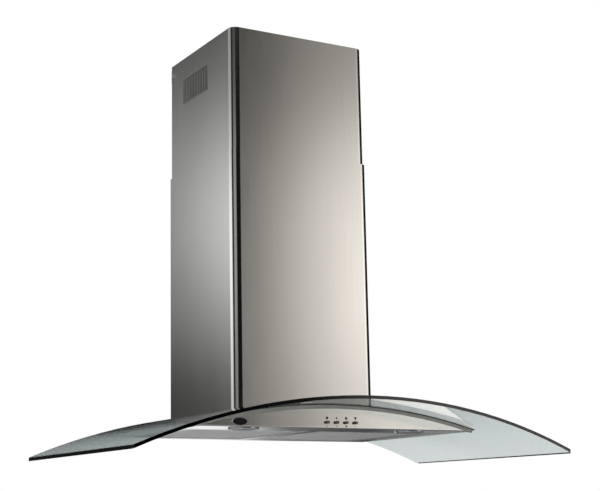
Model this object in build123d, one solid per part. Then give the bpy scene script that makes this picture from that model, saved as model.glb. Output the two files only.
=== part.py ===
"""Curved glass range hood for a wall.

An arched pane of glass lies on a lens-shaped steel body. A two-part telescopic
chimney hides the blower, which hangs on the wall and carries everything else.

X runs to the right and Y into the wall, so a depth is a distance in front of the
wall plane and lies at y = -depth. While the pieces are made, z = 0 is the underside
of the body; the export moves them to the centre of the wall fixing holes.
"""

from build123d import *
import math
import os

# ---------------------------------------------------------------- driving sizes, mm
# Glass
GLASS_WIDTH = 900.0
GLASS_SIDE_DEPTH = 503.0        # wall to the front edge, at the two ends
GLASS_BOW = 10.0                # how far the front edge bows out in the middle
GLASS_THICKNESS = 6.0
GLASS_CORNER_RADIUS = 6.0
GLASS_NOTCH_RADIUS = 10.0
GLASS_NOTCH_GAP = 3.0           # round the blower housing

# Body under the glass
BODY_HEIGHT = 44.0              # underside to the glass, in the middle
BODY_DEPTH = 395.0              # wall to the face of the fascia
BODY_TIP_MARGIN = 43.64         # from the filters out to the tip of the lens
BODY_SHEET = 1.0
REAR_GAP = 1.0                  # all but the wall fixing stay this far off the wall
SEAL_THICKNESS = 1.5
SEAL_WIDTH = 12.0
TRIM_HEIGHT = 8.5               # top of the fascia to the glass
TRIM_SEAL_GAP = 0.8             # between the strip above the fascia and the seal
TRIM_TIP_GAP = 5.64             # the strip stops this short of the tip of the body
TRIM_PROUD = 0.5                # how far it stands out from the fascia
FASCIA_DEPTH = 4.0              # of the folded pan
FASCIA_SHEET = 1.0
FASCIA_BEND_RADIUS = 2.0        # along its lower edge
FIXING_HEIGHT = 200.0           # underside to the middle of the wall fixing holes

# Clearances that several pieces share
SLIDE_CLEARANCE = 0.2           # round a button in its hole, a spigot in its opening
GUIDE_CLEARANCE = 0.3           # between a moving piece and what carries it

# Badge and buttons on the fascia
BADGE_ARCH_MARGIN = 7.3         # end of the strip, at the top of the badge, to its middle
BADGE_HEIGHT = 8.8              # of its middle above the underside
BADGE_WIDTH = 30.0
BADGE_TALL = 15.0
BADGE_THICKNESS = 1.4
BADGE_RIM = 1.3
BUTTON_COUNT = 4
BUTTON_PITCH = 20.0
BUTTON_MIDDLE_X = 4.0
BUTTON_HEIGHT = 10.8            # above the underside
BUTTON_WIDTH = 6.8
BUTTON_TALL = 5.2
BUTTON_PROUD = 5.5
BUTTON_TRAVEL = 2.0
BUTTON_FLANGE = 1.3             # the flange behind the fascia is this much larger
BUTTON_FLANGE_THICKNESS = 1.4
BUTTON_STEM_RADIUS = 1.2
BUTTON_STEM_LENGTH = 7.0
SWITCH_BORDER = 8.0             # switch block beyond the outer buttons
SWITCH_TALL = 15.0
SWITCH_DEPTH = 20.0

# Grease filters
FILTER_WIDTH = 252.0
FILTER_LENGTH = 284.0
FILTER_THICKNESS = 8.0
FILTER_BORDER = 12.0
FILTER_SHEET = 1.0
FILTER_RIB = 20.0               # strip of the body between the two filters
FILTER_REAR_DEPTH = 26.0
FILTER_GAP = 1.5                # round each filter, in its opening
FILTER_TAB_WIDTH = 24.0
FILTER_TAB_LENGTH = 6.5         # of a rear tab, behind the edge of the opening
MESH_THICKNESS = 3.0
MESH_COLUMNS = 9
MESH_ROWS = 10
MESH_BAR = 5.0
HANDLE_WIDTH = 40.0
HANDLE_REACH = 16.0
HANDLE_ROD_RADIUS = 1.4
HANDLE_LUG = 2.4
CATCH_WIDTH = 22.0
CATCH_THICKNESS = 5.0

# Lamps
LAMP_OUT = 42.0                 # outward of the middle of its filter
LAMP_FILTER_GAP = 50.0          # front of the filters to the middle of a lamp
LAMP_HOLE_RADIUS = 24.5
LAMP_FLANGE_RADIUS = 28.0
LAMP_FLANGE_THICKNESS = 3.0
LAMP_WALL = 1.2
LAMP_LENS_THICKNESS = 2.0
LAMP_CAN_HEIGHT = 11.0

# Chimney
LOWER_WIDTH = 305.0
LOWER_DEPTH = 281.0
LOWER_TOP = 537.0               # above the underside
UPPER_WIDTH = 301.0
UPPER_DEPTH = 278.0
UPPER_TOP = 781.0
UPPER_LENGTH = 430.0
COVER_SHEET = 1.0
COVER_CORNER_RADIUS = 16.0
COVER_FLANGE = 13.0             # folded in along the wall
COVER_REAR_STEP = 2.5           # the upper flanges pass in front of the lower ones
GUIDE_HEIGHT = 12.0
GUIDE_BELOW_TOP = 3.0

# Vents in the sides of the upper cover
VENT_LENGTH = 116.0
VENT_TALL = 57.0
VENT_DEPTH = 116.0              # wall to the middle of the vent
VENT_HEIGHT = 710.0
VENT_BARS = 14
VENT_BAR_WIDTH = 3.0
VENT_BORDER = 4.0

# Bracket and screws that hold the upper cover
BRACKET_HEIGHT = 758.0
BRACKET_TALL = 26.0
BRACKET_SHEET = 1.5
BRACKET_EAR = 30.0
BRACKET_HOLE_SPACING = 160.0
BRACKET_HOLE_RADIUS = 3.0
COVER_SCREW_DEPTH = 14.0
COVER_SCREW_RADIUS = 2.0
SCREW_HEAD_RADIUS = 4.0
SCREW_HEAD_HEIGHT = 2.2
SCREW_LENGTH = 9.0

# Blower housing
HOUSING_WIDTH = 230.0
HOUSING_DEPTH = 232.0
HOUSING_SHEET = 1.2
HOUSING_FLANGE = 12.0
FIXING_SPACING_X = 190.0
FIXING_SPACING_Z = 150.0
FIXING_HOLE_RADIUS = 4.0
SAFETY_SPACING = 380.0          # screws through the rear of the body
SAFETY_HEIGHT = 14.0
SAFETY_HOLE_RADIUS = 2.5

# Scroll, drawn with three quarter arcs whose radius grows by one step each
SCROLL_AXIS_DEPTH = 103.0
SCROLL_AXIS_HEIGHT = 175.0
SCROLL_STEP = 12.0
SCROLL_WIDTH = 130.0
SCROLL_SHEET = 1.2
SCROLL_TONGUE_GAP = 6.0         # least gap round the wheel
NECK_HEIGHT = 118.0             # above the axis
TRANSITION_HEIGHT = 32.0

# Blower wheel, shaft and motor
WHEEL_RADIUS = 76.0
WHEEL_BLADE_INNER_RADIUS = 61.0
WHEEL_WIDTH = 114.0
WHEEL_BLADES = 30
WHEEL_BLADE_THICKNESS = 1.2
WHEEL_BLADE_LEAN = 9.0          # degrees from root to tip, forwards
WHEEL_DISC = 2.0
WHEEL_RING_WIDTH = 4.0
WHEEL_RING_THICKNESS = 2.5
WHEEL_HUB_RADIUS = 11.0
WHEEL_HUB_LENGTH = 12.0
SHAFT_RADIUS = 4.0
SHAFT_CLEARANCE = 0.05
INLET_RADIUS = 60.0
MOTOR_RADIUS = 38.0
MOTOR_GAP = 8.0                 # from the disc of the wheel to the motor
BRACKET_ARM_WIDTH = 12.0
BRACKET_RING_WIDTH = 11.0
MOTOR_BRACKET_SHEET = 1.6

# Outlet collar with its two damper flaps
OUTLET_DEPTH = 140.0
OUTLET_RADIUS = 75.0
OUTLET_LENGTH = 48.0
OUTLET_SHEET = 1.2
OUTLET_FLANGE = 12.0
FLAP_HEIGHT = 20.0              # of the axle above the top of the housing
FLAP_THICKNESS = 1.2
FLAP_GAP = 1.3                  # to the inside of the collar
FLAP_SEAT_WIDTH = 4.0
FLAP_SEAT_GAP = 0.3
AXLE_RADIUS = 1.5
KNUCKLE_RADIUS = 2.6
KNUCKLE_CLEARANCE = 0.1
KNUCKLE_LENGTH = 16.0

# Electrical pieces on the front of the housing
TERMINAL_WIDTH = 96.0
TERMINAL_TALL = 70.0
TERMINAL_DEPTH = 26.0
TERMINAL_HEIGHT = 250.0
GLAND_RADIUS = 9.0
GLAND_BORE_RADIUS = 4.2
GLAND_LENGTH = 18.0
DRIVER_WIDTH = 84.0
DRIVER_TALL = 38.0
DRIVER_DEPTH = 22.0
DRIVER_HEIGHT = 140.0
CAPACITOR_RADIUS = 14.0
CAPACITOR_LENGTH = 54.0
CAPACITOR_X = 82.0
CAPACITOR_HEIGHT = 215.0

# Screws that clamp the glass
CLAMP_X = 133.0
CLAMP_DEPTHS = (60.0, 252.0)
CLAMP_SCREW_RADIUS = 2.5
CLAMP_HOLE_RADIUS = 6.0         # in the glass
CLAMP_WASHER_RADIUS = 8.5
CLAMP_WASHER_THICKNESS = 1.5
CLAMP_HEAD_RADIUS = 5.0
CLAMP_HEAD_HEIGHT = 3.0
CLAMP_NUT_RADIUS = 4.5
CLAMP_NUT_HEIGHT = 4.0
ARCH_EASE = 0.03                # of a flat nut against the arched deck

# ---------------------------------------------------------------- sizes that follow
body_half_width = FILTER_RIB / 2 + FILTER_WIDTH + BODY_TIP_MARGIN
tip_height = 2.0 * BODY_SHEET
deck_rise = BODY_HEIGHT - SEAL_THICKNESS - tip_height

# Arc from the crown of the deck down to the two tips; the glass follows it
deck_radius = (body_half_width**2 + deck_rise**2) / (2 * deck_rise)
glass_inner_radius = deck_radius + SEAL_THICKNESS
glass_radius = glass_inner_radius + GLASS_THICKNESS
arch_centre_z = BODY_HEIGHT - glass_inner_radius
trim_radius = glass_inner_radius - TRIM_HEIGHT
body_front = BODY_DEPTH - FASCIA_DEPTH
fascia_inside = BODY_DEPTH - FASCIA_SHEET


def arch_height(x, radius):
    """Height, at x, of the circle about the axis of the glass."""
    return arch_centre_z + math.sqrt(radius**2 - x**2)


def arch_half_width(radius, height):
    """How far from the middle that circle has come down to a height."""
    return math.sqrt(radius**2 - (height - arch_centre_z) ** 2)


filter_front_depth = FILTER_REAR_DEPTH + FILTER_LENGTH
filter_middle_x = (FILTER_RIB + FILTER_WIDTH) / 2.0
lamp_x = filter_middle_x + LAMP_OUT
lamp_depth = filter_front_depth + LAMP_FILTER_GAP
badge_x = BADGE_ARCH_MARGIN - arch_half_width(trim_radius, BADGE_HEIGHT + BADGE_TALL / 2)
housing_half = HOUSING_WIDTH / 2.0
neck_top = SCROLL_AXIS_HEIGHT + NECK_HEIGHT
housing_roof = neck_top + TRANSITION_HEIGHT     # underside of the roof
housing_top = housing_roof + HOUSING_SHEET
outlet_inner_radius = OUTLET_RADIUS - OUTLET_SHEET
scroll_half = SCROLL_WIDTH / 2.0
axle_z = housing_top + FLAP_HEIGHT
upper_rear = REAR_GAP + COVER_REAR_STEP
upper_half = UPPER_WIDTH / 2.0
lower_half = LOWER_WIDTH / 2.0


# ---------------------------------------------------------------- helpers
def block(x_low, x_high, depth_low, depth_high, z_low, z_high):
    """Box between two corners, with depths measured from the wall."""
    size = (x_high - x_low, depth_high - depth_low, z_high - z_low)
    middle = ((x_low + x_high) / 2, -(depth_low + depth_high) / 2, (z_low + z_high) / 2)
    return Pos(*middle) * Box(*size)


def from_front(sketch, depth_low, depth_high):
    """Extrude a sketch drawn in x and z between two depths."""
    return extrude(Plane.XZ.offset(depth_low) * sketch, amount=depth_high - depth_low)


def from_above(sketch, z_low, z_high):
    """Extrude a sketch drawn in x and y between two heights."""
    return extrude(Plane.XY.offset(z_low) * sketch, amount=z_high - z_low)


def from_side(sketch, x_low, x_high):
    """Extrude a sketch drawn in depth and z between two x; x is the axis it looks along."""
    side = Plane(origin=(x_low, 0, 0), x_dir=(0, -1, 0), z_dir=(-1, 0, 0))
    return extrude(side * sketch, amount=-(x_high - x_low))


def rod(radius, x_low, x_high, depth, z):
    """Cylinder along X."""
    middle = Pos((x_low + x_high) / 2, -depth, z)
    return middle * Rot(0, 90, 0) * Cylinder(radius, x_high - x_low)


def post(radius, x, depth, z_low, z_high):
    """Cylinder along Z."""
    return Pos(x, -depth, (z_low + z_high) / 2) * Cylinder(radius, z_high - z_low)


def plan_rectangle(x_low, x_high, depth_low, depth_high, radius=0.0):
    """Rectangle in plan, with rounded corners if a radius is given."""
    middle = Pos((x_low + x_high) / 2, -(depth_low + depth_high) / 2)
    size = (x_high - x_low, depth_high - depth_low)
    if radius > 0:
        return middle * RectangleRounded(*size, radius)
    return middle * Rectangle(*size)


def below_arch(radius, half_width, bottom):
    """Face in x and z that lies under an arch."""
    left = (-half_width, arch_height(half_width, radius))
    top = (0, arch_height(0, radius))
    right = (half_width, arch_height(half_width, radius))
    arch = ThreePointArc(left, top, right)
    rest = Polyline(right, (half_width, bottom), (-half_width, bottom), left)
    return make_face((arch + rest).edges())


def arch_band(inner_radius, outer_radius, half_width):
    """Face in x and z between two arches, with upright ends."""
    bottom = arch_height(half_width, inner_radius) - GLASS_THICKNESS
    outer = below_arch(outer_radius, half_width, bottom)
    return outer - below_arch(inner_radius, half_width, bottom)


def on_arch(shape, x):
    """Turn a shape made at the crown of the arch about its axis, out to x."""
    angle = math.degrees(math.asin(x / glass_radius))
    return Pos(0, 0, arch_centre_z) * Rot(0, angle, 0) * Pos(0, 0, -arch_centre_z) * shape


def both_sides(make):
    """Two pieces from one maker, for x = -1 and x = +1."""
    return {"left": make(-1), "right": make(1)}


# ---------------------------------------------------------------- glass and its fixings
def clamp_holes(radius):
    """Four holes through the glass and what lies under it, square to the arch."""
    crown = arch_height(0, glass_radius)
    holes = []
    for depth in CLAMP_DEPTHS:
        tool = post(radius, 0, depth, crown - 3 * GLASS_THICKNESS, crown + GLASS_THICKNESS)
        holes += [on_arch(tool, -CLAMP_X), on_arch(tool, CLAMP_X)]
    return holes


def notch_plan(gap):
    """Notch for the blower housing, open towards the wall."""
    half = housing_half + gap
    depth = HOUSING_DEPTH + gap
    return plan_rectangle(-half, half, -depth, depth, GLASS_NOTCH_RADIUS)


def make_glass():
    """Arched pane, cut out in plan: the front edge bows and a notch is open to the wall."""
    half = GLASS_WIDTH / 2
    front = GLASS_SIDE_DEPTH + GLASS_BOW
    band = arch_band(glass_inner_radius, glass_radius, half + GLASS_THICKNESS)
    pane = from_front(band, REAR_GAP - GLASS_THICKNESS, front + GLASS_THICKNESS)

    bow = ThreePointArc((-half, -GLASS_SIDE_DEPTH), (0, -front), (half, -GLASS_SIDE_DEPTH))
    straight = Polyline(
        (half, -GLASS_SIDE_DEPTH), (half, -REAR_GAP), (-half, -REAR_GAP), (-half, -GLASS_SIDE_DEPTH)
    )
    plan = make_face((bow + straight).edges())
    plan = fillet(plan.vertices(), GLASS_CORNER_RADIUS)
    plan -= notch_plan(GLASS_NOTCH_GAP)
    pane = pane & from_above(plan, -BODY_DEPTH, BODY_DEPTH)
    for hole in clamp_holes(CLAMP_HOLE_RADIUS):
        pane -= hole
    return pane


def make_glass_seal():
    """Flat rubber gasket on the body: a frame round its edge and one round the housing.

    In front it reaches over the strip, flush with the fascia.
    """
    band = from_front(arch_band(deck_radius, glass_inner_radius, body_half_width), REAR_GAP, BODY_DEPTH)
    outer = plan_rectangle(-body_half_width, body_half_width, REAR_GAP, BODY_DEPTH)
    inner = plan_rectangle(
        -body_half_width + SEAL_WIDTH,
        body_half_width - SEAL_WIDTH,
        REAR_GAP + SEAL_WIDTH,
        body_front - SEAL_WIDTH,
    )
    round_housing = plan_rectangle(-lower_half, lower_half, REAR_GAP, LOWER_DEPTH)
    plan = outer - inner + round_housing - notch_plan(GLASS_NOTCH_GAP)
    seal = band & from_above(plan, -BODY_DEPTH, BODY_DEPTH)
    for hole in clamp_holes(CLAMP_SCREW_RADIUS):
        seal -= hole
    return seal


def make_glass_grommets():
    """Rubber bushes in the holes of the glass, each with a washer on top."""
    crown = arch_height(0, glass_radius)
    pieces = []
    for depth in CLAMP_DEPTHS:
        bush = post(CLAMP_HOLE_RADIUS, 0, depth, BODY_HEIGHT, crown)
        bush += post(CLAMP_WASHER_RADIUS, 0, depth, crown, crown + CLAMP_WASHER_THICKNESS)
        bush -= post(CLAMP_SCREW_RADIUS, 0, depth, 0, 2 * crown)
        pieces += [on_arch(bush, -CLAMP_X), on_arch(bush, CLAMP_X)]
    return pieces


def make_glass_screws():
    """Screws through the bushes, with a nut under the deck of the body."""
    seat = arch_height(0, glass_radius) + CLAMP_WASHER_THICKNESS
    deck_under = arch_height(0, deck_radius) - BODY_SHEET - ARCH_EASE
    pieces = []
    for depth in CLAMP_DEPTHS:
        screw = post(CLAMP_SCREW_RADIUS, 0, depth, deck_under - CLAMP_NUT_HEIGHT, seat)
        screw += post(CLAMP_HEAD_RADIUS, 0, depth, seat, seat + CLAMP_HEAD_HEIGHT)
        nut = Pos(0, -depth, deck_under - CLAMP_NUT_HEIGHT) * extrude(
            RegularPolygon(CLAMP_NUT_RADIUS, 6), amount=CLAMP_NUT_HEIGHT
        )
        pieces += [on_arch(screw + nut, -CLAMP_X), on_arch(screw + nut, CLAMP_X)]
    return pieces


# ---------------------------------------------------------------- body and fascia
def filter_opening(side):
    """Hole for one filter in the floor of the body."""
    middle = side * filter_middle_x
    half = FILTER_WIDTH / 2 + FILTER_GAP
    return block(
        middle - half,
        middle + half,
        FILTER_REAR_DEPTH - FILTER_GAP,
        filter_front_depth + FILTER_GAP,
        -BODY_SHEET,
        2 * BODY_SHEET,
    )


def switch_span():
    """Half the width of the switch block."""
    return (BUTTON_COUNT - 1) * BUTTON_PITCH / 2 + BUTTON_WIDTH / 2 + SWITCH_BORDER


def make_body():
    """Folded steel box with the outline of a lens, open to the filters and the blower."""
    body = from_front(below_arch(deck_radius, body_half_width, 0), REAR_GAP, body_front)
    inner_radius = deck_radius - BODY_SHEET
    inner_half = arch_half_width(inner_radius, 3 * BODY_SHEET)
    inside = below_arch(inner_radius, inner_half, BODY_SHEET)
    body -= from_front(inside, REAR_GAP + BODY_SHEET, body_front - BODY_SHEET)
    for side in (-1, 1):
        body -= filter_opening(side)
        body -= post(LAMP_HOLE_RADIUS, side * lamp_x, lamp_depth, -BODY_SHEET, 2 * BODY_SHEET)
        safety = Pos(side * SAFETY_SPACING / 2, -REAR_GAP, SAFETY_HEIGHT)
        body -= safety * Rot(90, 0, 0) * Cylinder(SAFETY_HOLE_RADIUS, 4 * BODY_SHEET)
    throat_half = housing_half - HOUSING_FLANGE
    body -= block(
        -throat_half,
        throat_half,
        REAR_GAP + HOUSING_FLANGE,
        HOUSING_DEPTH - HOUSING_FLANGE,
        BODY_HEIGHT / 2,
        BODY_HEIGHT,
    )
    body -= block(
        BUTTON_MIDDLE_X - switch_span() - FILTER_GAP,
        BUTTON_MIDDLE_X + switch_span() + FILTER_GAP,
        body_front - 2 * BODY_SHEET,
        body_front + BODY_SHEET,
        BUTTON_HEIGHT - SWITCH_TALL / 2 - FILTER_GAP,
        BUTTON_HEIGHT + SWITCH_TALL / 2 + FILTER_GAP,
    )
    for hole in clamp_holes(CLAMP_SCREW_RADIUS):
        body -= hole
    return body


def button_places():
    """The x of each button, from left to right."""
    first = BUTTON_MIDDLE_X - (BUTTON_COUNT - 1) * BUTTON_PITCH / 2
    return [first + index * BUTTON_PITCH for index in range(BUTTON_COUNT)]


def button_outline(x, extra):
    """Long oval of a button, drawn in x and z."""
    return Pos(x, BUTTON_HEIGHT) * SlotOverall(BUTTON_WIDTH + extra, BUTTON_TALL + extra)


def fascia_bend(half):
    """What a bend takes off the sharp lower edge of the fascia."""
    radius = FASCIA_BEND_RADIUS
    corner = Pos(BODY_DEPTH - radius / 2, radius / 2) * Rectangle(radius, radius)
    corner -= Pos(BODY_DEPTH - radius, radius) * Circle(radius)
    return from_side(corner, -half, half)


def make_fascia():
    """Front pan: its straight lower edge and its arched upper edge meet at two tips."""
    half = arch_half_width(trim_radius, FASCIA_SHEET)
    fascia = from_front(below_arch(trim_radius, half, 0), body_front, BODY_DEPTH)
    inside_radius = trim_radius - FASCIA_SHEET
    inside_half = arch_half_width(inside_radius, 3 * FASCIA_SHEET)
    inside = below_arch(inside_radius, inside_half, FASCIA_SHEET)
    fascia -= from_front(inside, body_front, fascia_inside)
    fascia -= fascia_bend(half)
    for x in button_places():
        hole = button_outline(x, 2 * SLIDE_CLEARANCE)
        fascia -= from_front(hole, body_front, BODY_DEPTH + FASCIA_SHEET)
    return fascia


def make_trim():
    """Strip that follows the glass above the fascia, with round ends."""
    strip_height = deck_radius - TRIM_SEAL_GAP - trim_radius
    middle_radius = trim_radius + strip_height / 2
    half = body_half_width - TRIM_TIP_GAP - strip_height / 2
    end = (half, arch_height(half, middle_radius))
    spine = ThreePointArc((-end[0], end[1]), (0, arch_height(0, middle_radius)), end)
    return from_front(SlotArc(spine, strip_height), body_front, BODY_DEPTH + TRIM_PROUD)


def badge_place():
    return Pos(badge_x, BADGE_HEIGHT)


def make_badge_plate():
    """Bare oval plate."""
    oval = Ellipse(BADGE_WIDTH / 2 - BADGE_RIM, BADGE_TALL / 2 - BADGE_RIM)
    return from_front(badge_place() * oval, BODY_DEPTH, BODY_DEPTH + BADGE_THICKNESS * 0.8)


def make_badge_rim():
    """Raised ring round the plate."""
    ring = Ellipse(BADGE_WIDTH / 2, BADGE_TALL / 2)
    ring -= Ellipse(BADGE_WIDTH / 2 - BADGE_RIM, BADGE_TALL / 2 - BADGE_RIM)
    return from_front(badge_place() * ring, BODY_DEPTH, BODY_DEPTH + BADGE_THICKNESS)


def make_button(x):
    """Oval cap, a flange that keeps it behind the fascia, and a stem."""
    flange_front = fascia_inside - GUIDE_CLEARANCE
    flange_rear = flange_front - BUTTON_FLANGE_THICKNESS
    button = from_front(button_outline(x, 0), flange_rear, BODY_DEPTH + BUTTON_PROUD)
    tip = button.faces().sort_by(Axis.Y)[0]
    button = fillet(tip.edges(), BUTTON_TALL / 6)
    button += from_front(button_outline(x, 2 * BUTTON_FLANGE), flange_rear, flange_front)
    stem = Pos(x, BUTTON_HEIGHT) * Circle(BUTTON_STEM_RADIUS)
    button += from_front(stem, flange_rear - BUTTON_STEM_LENGTH, flange_rear)
    return button


def make_switch_block():
    """Moulded block behind the fascia, with a well for each button."""
    well_rear = fascia_inside - GUIDE_CLEARANCE - BUTTON_FLANGE_THICKNESS - BUTTON_TRAVEL - 1.0
    switch = block(
        BUTTON_MIDDLE_X - switch_span(),
        BUTTON_MIDDLE_X + switch_span(),
        fascia_inside - SWITCH_DEPTH,
        fascia_inside,
        BUTTON_HEIGHT - SWITCH_TALL / 2,
        BUTTON_HEIGHT + SWITCH_TALL / 2,
    )
    for x in button_places():
        well = button_outline(x, 2 * BUTTON_FLANGE + 4 * SLIDE_CLEARANCE)
        switch -= from_front(well, well_rear, fascia_inside)
        bore = Pos(x, BUTTON_HEIGHT) * Circle(BUTTON_STEM_RADIUS + SLIDE_CLEARANCE)
        bore_rear = well_rear - BUTTON_STEM_LENGTH
        switch -= from_front(bore, bore_rear, fascia_inside)
    return switch


# ---------------------------------------------------------------- grease filters
def make_filter_frame(side):
    """Channel frame with two rear tabs and a recessed plate for the handle."""
    middle = side * filter_middle_x
    left = middle - FILTER_WIDTH / 2
    right = middle + FILTER_WIDTH / 2
    outer = plan_rectangle(left, right, FILTER_REAR_DEPTH, filter_front_depth, 3 * FILTER_SHEET)
    window = plan_rectangle(
        left + FILTER_BORDER,
        right - FILTER_BORDER,
        FILTER_REAR_DEPTH + FILTER_BORDER,
        filter_front_depth - FILTER_BORDER,
        3 * FILTER_SHEET,
    )
    frame = from_above(outer - window, 0, FILTER_THICKNESS)
    groove = plan_rectangle(
        left + FILTER_SHEET,
        right - FILTER_SHEET,
        FILTER_REAR_DEPTH + FILTER_SHEET,
        filter_front_depth - FILTER_SHEET,
        2 * FILTER_SHEET,
    )
    frame -= from_above(groove, FILTER_SHEET, FILTER_THICKNESS - FILTER_SHEET)
    for offset in (-1, 1):
        tab_x = middle + offset * FILTER_WIDTH / 4
        frame += block(
            tab_x - FILTER_TAB_WIDTH / 2,
            tab_x + FILTER_TAB_WIDTH / 2,
            FILTER_REAR_DEPTH - FILTER_GAP - FILTER_TAB_LENGTH,
            FILTER_REAR_DEPTH + FILTER_SHEET,
            BODY_SHEET + GUIDE_CLEARANCE,
            BODY_SHEET + GUIDE_CLEARANCE + FILTER_SHEET,
        )
    return frame + handle_plate(middle)


def handle_pivot():
    """Depth and height of the line that a filter handle turns about."""
    plate_under = FILTER_THICKNESS - 3 * FILTER_SHEET
    depth = filter_front_depth - FILTER_BORDER - HANDLE_REACH - 3 * HANDLE_ROD_RADIUS
    return depth, plate_under - 2 * HANDLE_ROD_RADIUS


def handle_plate(middle):
    """Plate above the handle, with the two lugs that it turns in."""
    depth, height = handle_pivot()
    half = HANDLE_WIDTH / 2 + 2 * HANDLE_LUG
    plate_under = FILTER_THICKNESS - 3 * FILTER_SHEET
    plate = block(
        middle - half,
        middle + half,
        depth - 3 * HANDLE_ROD_RADIUS,
        filter_front_depth - FILTER_SHEET / 2,
        plate_under,
        plate_under + FILTER_SHEET,
    )
    for sign in (-1, 1):
        lug_x = middle + sign * (HANDLE_WIDTH / 2 + HANDLE_LUG)
        plate += block(
            lug_x - HANDLE_LUG / 2,
            lug_x + HANDLE_LUG / 2,
            depth - 2 * HANDLE_ROD_RADIUS,
            depth + 2 * HANDLE_ROD_RADIUS,
            height - 1.6 * HANDLE_ROD_RADIUS,
            plate_under,
        )
        plate -= rod(
            HANDLE_ROD_RADIUS + KNUCKLE_CLEARANCE,
            lug_x - HANDLE_LUG,
            lug_x + HANDLE_LUG,
            depth,
            height,
        )
    return plate


def make_filter_handle(side):
    """Bent wire handle, folded flat against the filter."""
    middle = side * filter_middle_x
    depth, height = handle_pivot()
    half = HANDLE_WIDTH / 2
    pin = half + 1.5 * HANDLE_LUG
    corner = 2.2 * HANDLE_ROD_RADIUS
    path = FilletPolyline(
        (middle - pin, -depth, height),
        (middle - half + HANDLE_ROD_RADIUS, -depth, height),
        (middle - half + HANDLE_ROD_RADIUS, -depth - HANDLE_REACH, height),
        (middle + half - HANDLE_ROD_RADIUS, -depth - HANDLE_REACH, height),
        (middle + half - HANDLE_ROD_RADIUS, -depth, height),
        (middle + pin, -depth, height),
        radius=corner * 0.6,
    )
    section = Plane(origin=path @ 0, z_dir=path % 0) * Circle(HANDLE_ROD_RADIUS)
    return sweep(section, path=path)


def make_filter_mesh(side):
    """Perforated aluminium sheet held in the channel of the frame."""
    middle = side * filter_middle_x
    width = FILTER_WIDTH - 2 * FILTER_SHEET
    length = FILTER_LENGTH - 2 * FILTER_SHEET
    centre_depth = (FILTER_REAR_DEPTH + filter_front_depth) / 2
    open_width = FILTER_WIDTH - 2 * FILTER_BORDER
    open_length = FILTER_LENGTH - 2 * FILTER_BORDER
    handle_depth, _ = handle_pivot()
    open_front = handle_depth - 3 * HANDLE_ROD_RADIUS - MESH_BAR
    open_rear = FILTER_REAR_DEPTH + FILTER_BORDER + MESH_BAR
    pitch_x = open_width / MESH_COLUMNS
    pitch_y = (open_front - open_rear) / MESH_ROWS
    sheet = Pos(middle, -centre_depth) * RectangleRounded(width, length, 2 * FILTER_SHEET)
    plate_half = HANDLE_WIDTH / 2 + 2 * HANDLE_LUG + MESH_BAR
    sheet -= plan_rectangle(
        middle - plate_half,
        middle + plate_half,
        open_front + MESH_BAR / 2,
        filter_front_depth,
    )
    holes = GridLocations(pitch_x, pitch_y, MESH_COLUMNS, MESH_ROWS)
    grid = Pos(middle, -(open_rear + open_front) / 2) * Sketch(
        children=[place * Rectangle(pitch_x - MESH_BAR, pitch_y - MESH_BAR) for place in holes]
    )
    middle_z = FILTER_THICKNESS / 2
    return from_above(sheet - grid, middle_z - MESH_THICKNESS / 2, middle_z + MESH_THICKNESS / 2)


def make_filter_catches():
    """Spring catches on the floor of the body, in front of each filter."""
    face = filter_front_depth + GUIDE_CLEARANCE
    pieces = []
    for side in (-1, 1):
        middle = side * filter_middle_x
        catch = block(
            middle - CATCH_WIDTH / 2,
            middle + CATCH_WIDTH / 2,
            face,
            face + CATCH_THICKNESS,
            BODY_SHEET,
            FILTER_THICKNESS,
        )
        catch = fillet(catch.edges().filter_by(Axis.Z), BODY_SHEET)
        pieces.append(catch)
    return pieces


# ---------------------------------------------------------------- lamps
def lamp_ring(profile, side):
    """Turn a profile of radii and heights about the axis of a lamp."""
    outline = make_face(Plane.XZ * Polyline(*profile, close=True))
    return Pos(side * lamp_x, -lamp_depth, 0) * revolve(outline, Axis.Z)


def make_lamp_bezel(side):
    """Ring under the floor with a short spigot up through it."""
    spigot = LAMP_HOLE_RADIUS - SLIDE_CLEARANCE
    bore = spigot - LAMP_WALL
    lip = bore - LAMP_WALL
    top = BODY_SHEET + LAMP_LENS_THICKNESS
    profile = [
        (lip, -LAMP_FLANGE_THICKNESS),
        (LAMP_FLANGE_RADIUS - LAMP_WALL, -LAMP_FLANGE_THICKNESS),
        (LAMP_FLANGE_RADIUS, -LAMP_FLANGE_THICKNESS / 3),
        (LAMP_FLANGE_RADIUS, 0),
        (spigot, 0),
        (spigot, top),
        (bore, top),
        (bore, 0),
        (lip, 0),
    ]
    return lamp_ring(profile, side)


def make_lamp_lens(side):
    """Frosted disc that lies on the lip of the bezel."""
    radius = LAMP_HOLE_RADIUS - SLIDE_CLEARANCE - LAMP_WALL
    return post(radius, side * lamp_x, lamp_depth, 0, LAMP_LENS_THICKNESS)


def make_lamp_can(side):
    """Lamp housing with cooling fins, on top of the bezel."""
    radius = LAMP_HOLE_RADIUS - SLIDE_CLEARANCE - LAMP_WALL
    low = LAMP_LENS_THICKNESS
    can = post(radius, side * lamp_x, lamp_depth, low, LAMP_CAN_HEIGHT)
    fin = LAMP_CAN_HEIGHT / 8
    for level in (3, 5):
        z = level * fin
        groove = post(radius + fin, side * lamp_x, lamp_depth, z, z + fin)
        groove -= post(radius - 3 * fin, side * lamp_x, lamp_depth, z, z + fin)
        can -= groove
    return can


# ---------------------------------------------------------------- chimney
def cover_outline(half_width, depth_rear, depth_front, radius):
    """Plan of a cover with its two front corners rounded."""
    plan = plan_rectangle(-half_width, half_width, depth_rear, depth_front)
    front_corners = plan.vertices().sort_by(Axis.Y)[:2]
    return fillet(front_corners, radius)


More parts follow.
